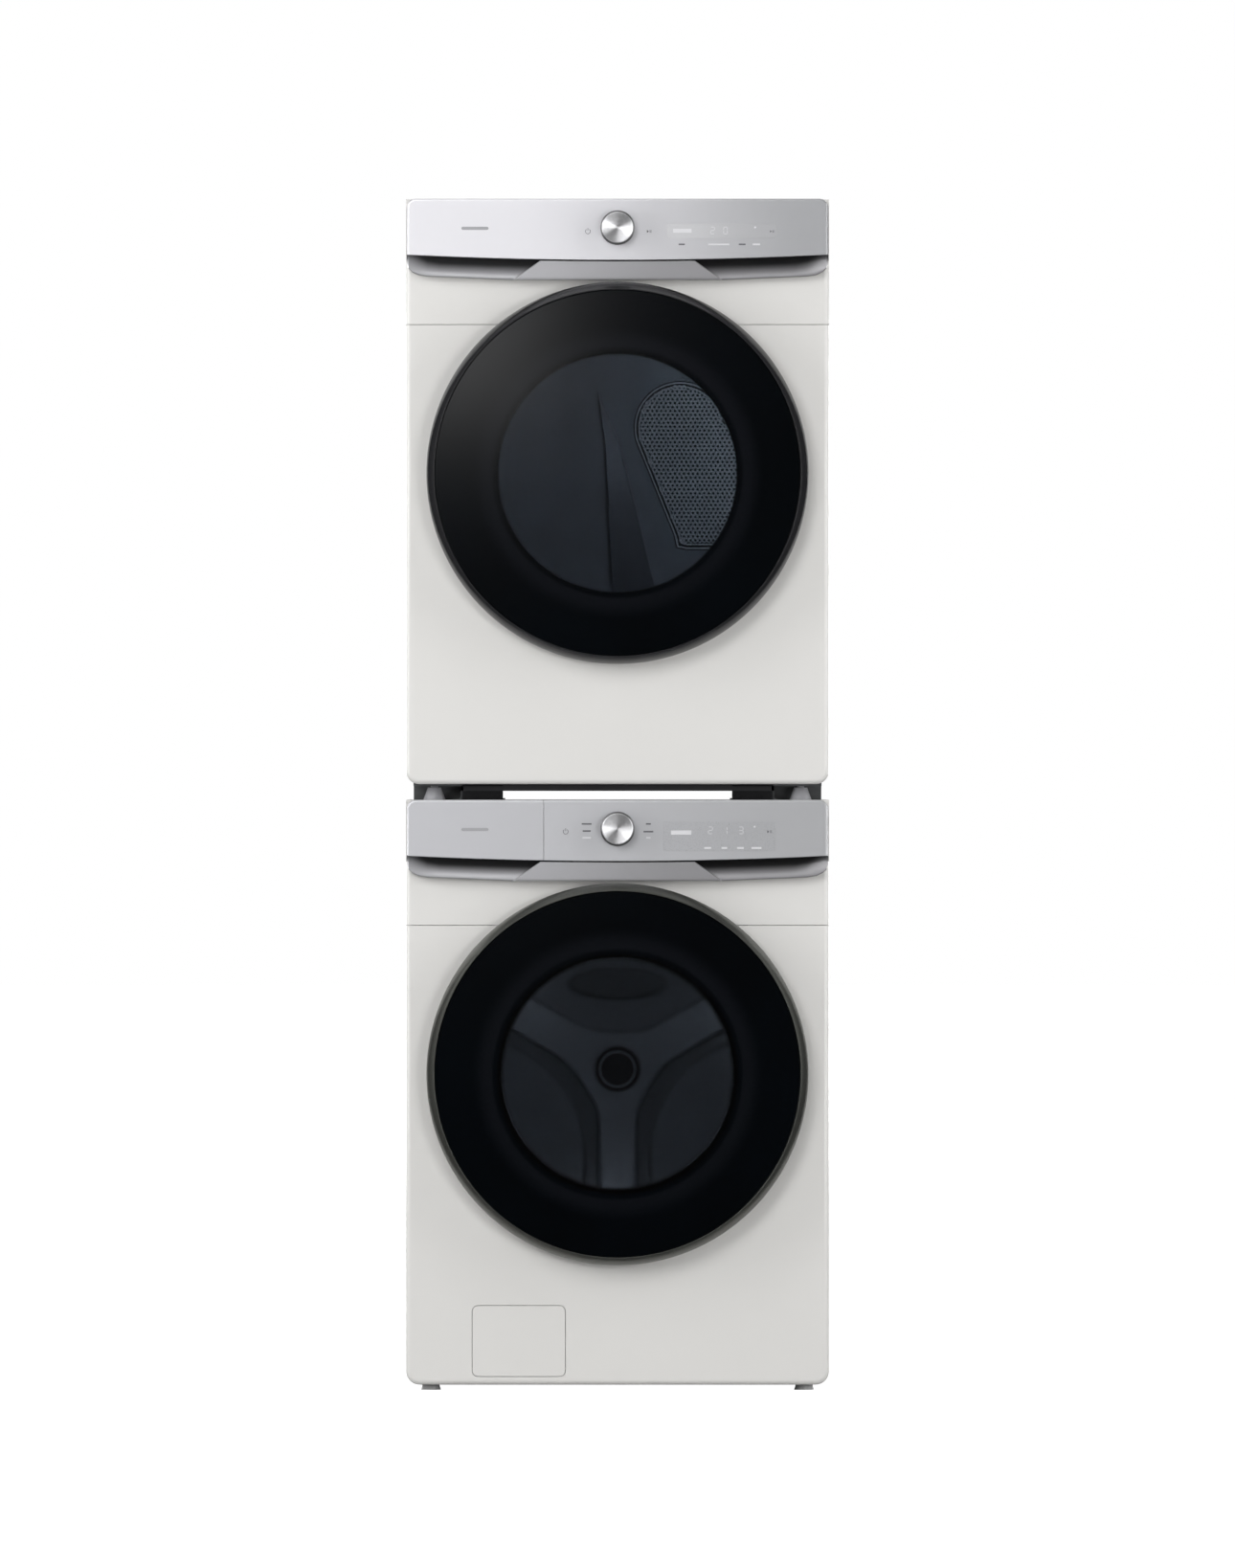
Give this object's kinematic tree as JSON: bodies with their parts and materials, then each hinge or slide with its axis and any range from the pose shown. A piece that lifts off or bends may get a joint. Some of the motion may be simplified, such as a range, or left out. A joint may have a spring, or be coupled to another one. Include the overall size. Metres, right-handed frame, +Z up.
{
  "type": "stacked washer and dryer",
  "caption": "Front-load washer with a matching vented dryer stacked on rails: round glass doors, slanted-wedge trim, cycle knobs, detergent drawer and pump filter door.",
  "frame": {"origin": "on the floor under the middle of the whole object's bounding box", "axes": "+Z up, the doors face -Y, +X to the right of someone looking at the doors"},
  "size_m": [0.686, 0.795, 1.9315],
  "materials": {
    "cabinet_paint": "satin enamel, warm ivory white",
    "galvanised_steel": "zinc coated sheet",
    "panel_silver": "silver metallic paint",
    "trim_silver": "darker silver metallic",
    "knob_metal": "spun, turned face",
    "door_rim": "dark olive grey metallic",
    "door_glass": "tinted black with a printed border",
    "window_glass": "clear pressed glass",
    "hinge_steel": "zinc plated",
    "drum_steel": "stainless, brushed round",
    "grey_plastic": "glass filled, light grain",
    "white_plastic": "smooth",
    "rubber_grey": "matt moulded rubber",
    "cast_aluminium": "raw casting",
    "motor_steel": "dark lacquer",
    "bracket_black": "powder coated",
    "foot_grey": "light grey with rubber sole"
  },
  "bodies": {
    "root": {"dryer_base_pan": "galvanised_steel", "dryer_control_panel": "panel_silver", "dryer_door_hinge": "hinge_steel", "dryer_drive_motor": "motor_steel", "dryer_drum_belt": "rubber_grey", "dryer_exhaust_duct": "galvanised_steel", "dryer_front_bulkhead": "galvanised_steel", "dryer_front_header": "cabinet_paint", "dryer_front_panel": "cabinet_paint", "dryer_handle_trim": "trim_silver", "dryer_leveling_feet": "foot_grey", "dryer_rear_bulkhead": "galvanised_steel", "dryer_rear_panel": "galvanised_steel", "dryer_side_panel_left": "cabinet_paint", "dryer_side_panel_right": "cabinet_paint", "dryer_top_plate": "cabinet_paint", "stacking_bracket_left": "bracket_black", "stacking_bracket_right": "bracket_black", "stacking_screws": "hinge_steel", "washer_base_pan": "galvanised_steel", "washer_control_panel": "panel_silver", "washer_door_gasket": "rubber_grey", "washer_door_hinge": "hinge_steel", "washer_drain_pump": "grey_plastic", "washer_drawer_housing": "grey_plastic", "washer_front_header": "cabinet_paint", "washer_front_panel": "cabinet_paint", "washer_handle_trim": "trim_silver", "washer_inlet_valves": "white_plastic", "washer_leveling_feet": "foot_grey", "washer_motor_stator": "motor_steel", "washer_rear_panel": "galvanised_steel", "washer_side_panel_left": "cabinet_paint", "washer_side_panel_right": "cabinet_paint", "washer_top_plate": "cabinet_paint", "washer_tub": "grey_plastic", "washer_tub_suspension": "motor_steel"},
    "washer_door": {"washer_door_ring": "door_rim", "washer_door_glass": "door_glass", "washer_door_window": "window_glass", "washer_door_latch": "hinge_steel"},
    "dryer_door": {"dryer_door_ring": "door_rim", "dryer_door_glass": "door_glass", "dryer_door_window": "window_glass"},
    "washer_cycle_knob": {"washer_knob": "knob_metal"},
    "dryer_cycle_knob": {"dryer_knob": "knob_metal"},
    "detergent_drawer": {"washer_drawer_front": "panel_silver", "washer_drawer_tray": "white_plastic"},
    "washer_basket": {"washer_drum": "drum_steel", "washer_drum_lifters": "grey_plastic", "washer_drum_spider": "cast_aluminium", "washer_motor_rotor": "motor_steel"},
    "pump_filter_door": {"washer_filter_door": "cabinet_paint"},
    "pump_filter_cap": {"washer_filter_cap": "grey_plastic"},
    "dryer_basket": {"dryer_drum": "drum_steel", "dryer_drum_baffles": "grey_plastic"},
    "dryer_blower": {"dryer_blower_wheel": "grey_plastic"},
    "dryer_left_roller": {"dryer_roller_left": "rubber_grey"},
    "dryer_right_roller": {"dryer_roller_right": "rubber_grey"},
    "lint_screen": {"dryer_lint_filter": "grey_plastic"}
  },
  "joints": [
    {"name": "washer_door_swing", "type": "hinge", "parent": "root", "child": "washer_door", "pos_m": [-0.288, -0.3795, 0.513], "axis": [0, 0, -1], "range_deg": [0, 105]},
    {"name": "dryer_door_swing", "type": "hinge", "parent": "root", "child": "dryer_door", "pos_m": [-0.288, -0.3795, 1.487], "axis": [0, 0, -1], "range_deg": [0, 105]},
    {"name": "washer_knob_turn", "type": "hinge", "parent": "root", "child": "washer_cycle_knob", "pos_m": [0, -0.3815, 0.9105], "axis": [0, 1, 0], "continuous": true},
    {"name": "dryer_knob_turn", "type": "hinge", "parent": "root", "child": "dryer_cycle_knob", "pos_m": [0, -0.3815, 1.8845], "axis": [0, 1, 0], "continuous": true},
    {"name": "detergent_drawer_slide", "type": "slide", "parent": "root", "child": "detergent_drawer", "axis": [0, -1, 0], "range_m": [0, 0.2]},
    {"name": "washer_drum_spin", "type": "hinge", "parent": "root", "child": "washer_basket", "pos_m": [0, -0.0015, 0.513], "axis": [0, 1, 0], "continuous": true},
    {"name": "pump_filter_door_swing", "type": "hinge", "parent": "root", "child": "pump_filter_door", "pos_m": [-0.16, -0.3485, 0.0355], "axis": [1, 0, 0], "range_deg": [0, 90]},
    {"name": "pump_filter_cap_turn", "type": "hinge", "parent": "root", "child": "pump_filter_cap", "pos_m": [-0.16, -0.3315, 0.079], "axis": [0, -1, 0], "range_deg": [0, 180]},
    {"name": "dryer_drum_spin", "type": "hinge", "parent": "root", "child": "dryer_basket", "pos_m": [0, 0.0185, 1.487], "axis": [0, 1, 0], "continuous": true},
    {"name": "dryer_blower_spin", "type": "hinge", "parent": "root", "child": "dryer_blower", "pos_m": [-0.11, -0.1515, 1.081], "axis": [0, 1, 0], "continuous": true},
    {"name": "dryer_left_roller_spin", "type": "hinge", "parent": "root", "child": "dryer_left_roller", "pos_m": [-0.1767, 0.2635, 1.18095], "axis": [0, 1, 0], "continuous": true},
    {"name": "dryer_right_roller_spin", "type": "hinge", "parent": "root", "child": "dryer_right_roller", "pos_m": [0.1767, 0.2635, 1.18095], "axis": [0, 1, 0], "continuous": true},
    {"name": "lint_filter_slide", "type": "slide", "parent": "root", "child": "lint_screen", "axis": [0, 0, 1], "range_m": [0, 0.15]}
  ],
  "couplings": [
    {"joint": "dryer_blower_spin", "follows": "dryer_drum_spin", "ratio": 25.677},
    {"joint": "dryer_left_roller_spin", "follows": "dryer_drum_spin", "ratio": -9.0398},
    {"joint": "dryer_right_roller_spin", "follows": "dryer_drum_spin", "ratio": -9.0398}
  ]
}
